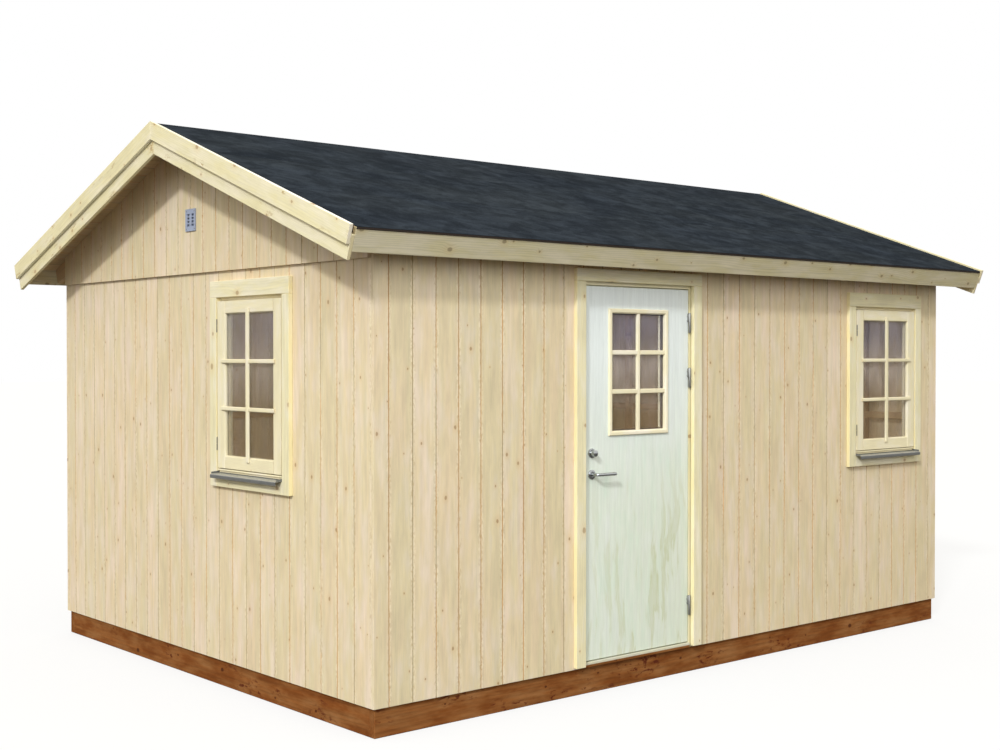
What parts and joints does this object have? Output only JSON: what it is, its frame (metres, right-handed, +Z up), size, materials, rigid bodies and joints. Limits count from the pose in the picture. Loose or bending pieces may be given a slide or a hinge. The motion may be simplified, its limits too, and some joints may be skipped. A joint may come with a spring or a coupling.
{
  "type": "wooden garden shed",
  "caption": "Timber garden shed with a pitched felt roof, vertical board cladding, a glazed outward-opening door with a lever handle, and casement windows.",
  "frame": {"origin": "middle of the footprint on the ground", "axes": "+X along the length, +Y from the door wall to the back wall, +Z up"},
  "size_m": [5.3, 3.8728, 3.1207],
  "materials": {
    "cladding": "bare planed softwood",
    "trim": "bare planed softwood, paler than the cladding",
    "joinery": "bare planed softwood",
    "door_wood": "pale primed softwood",
    "inner_timber": "bare sawn softwood",
    "treated_timber": "brown impregnated softwood",
    "felt": "mineral-surfaced bitumen felt",
    "glass": "clear",
    "sill_metal": "grey coated sheet",
    "steel": "satin stainless",
    "vent_plastic": "moulded"
  },
  "bodies": {
    "shed": {"foundation_long_beams": "treated_timber", "foundation_short_beams": "treated_timber", "floor_joists": "treated_timber", "floor_boards": "inner_timber", "front_wall_left": "cladding", "front_wall_right": "cladding", "front_wall_over_door": "cladding", "back_wall": "cladding", "left_wall": "cladding", "right_wall": "cladding", "left_gable": "cladding", "right_gable": "cladding", "long_wall_studs": "inner_timber", "short_wall_studs": "inner_timber", "long_wall_plates": "inner_timber", "short_wall_plates": "inner_timber", "gable_studs": "inner_timber", "ridge_beam": "inner_timber", "front_rafters": "inner_timber", "back_rafters": "inner_timber", "eave_blocks": "inner_timber", "front_roof_boards": "inner_timber", "back_roof_boards": "inner_timber", "front_roof_felt": "felt", "back_roof_felt": "felt", "front_fascia": "trim", "back_fascia": "trim", "front_lower_verge_boards": "trim", "back_lower_verge_boards": "trim", "front_upper_verge_boards": "trim", "back_upper_verge_boards": "trim", "left_window_casing": "trim", "left_window_frame": "joinery", "left_window_sash": "joinery", "left_window_pane": "glass", "left_window_sill": "sill_metal", "front_window_casing": "trim", "front_window_frame": "joinery", "front_window_sash": "joinery", "front_window_pane": "glass", "front_window_sill": "sill_metal", "door_frame": "door_wood", "door_threshold": "door_wood", "door_casing": "trim", "hinge_frame_halves": "steel", "gable_vents": "vent_plastic"},
    "door": {"door_leaf": "door_wood", "door_bead": "door_wood", "door_glass": "glass", "lever_roses": "steel", "door_lock": "steel", "hinge_leaf_halves": "steel"},
    "lever": {"door_lever": "steel"}
  },
  "joints": [
    {"name": "door_hinge", "type": "hinge", "parent": "shed", "child": "door", "pos_m": [-0.16, -1.738, 1.2], "axis": [0, 0, 1], "range_deg": [0, 110]},
    {"name": "lever_turn", "type": "hinge", "parent": "door", "child": "lever", "pos_m": [-0.937, -1.729, 1.183], "axis": [0, 1, 0], "range_deg": [0, 40], "stiffness_Nm_per_rad": 1.5, "springref_deg": -28.65}
  ]
}
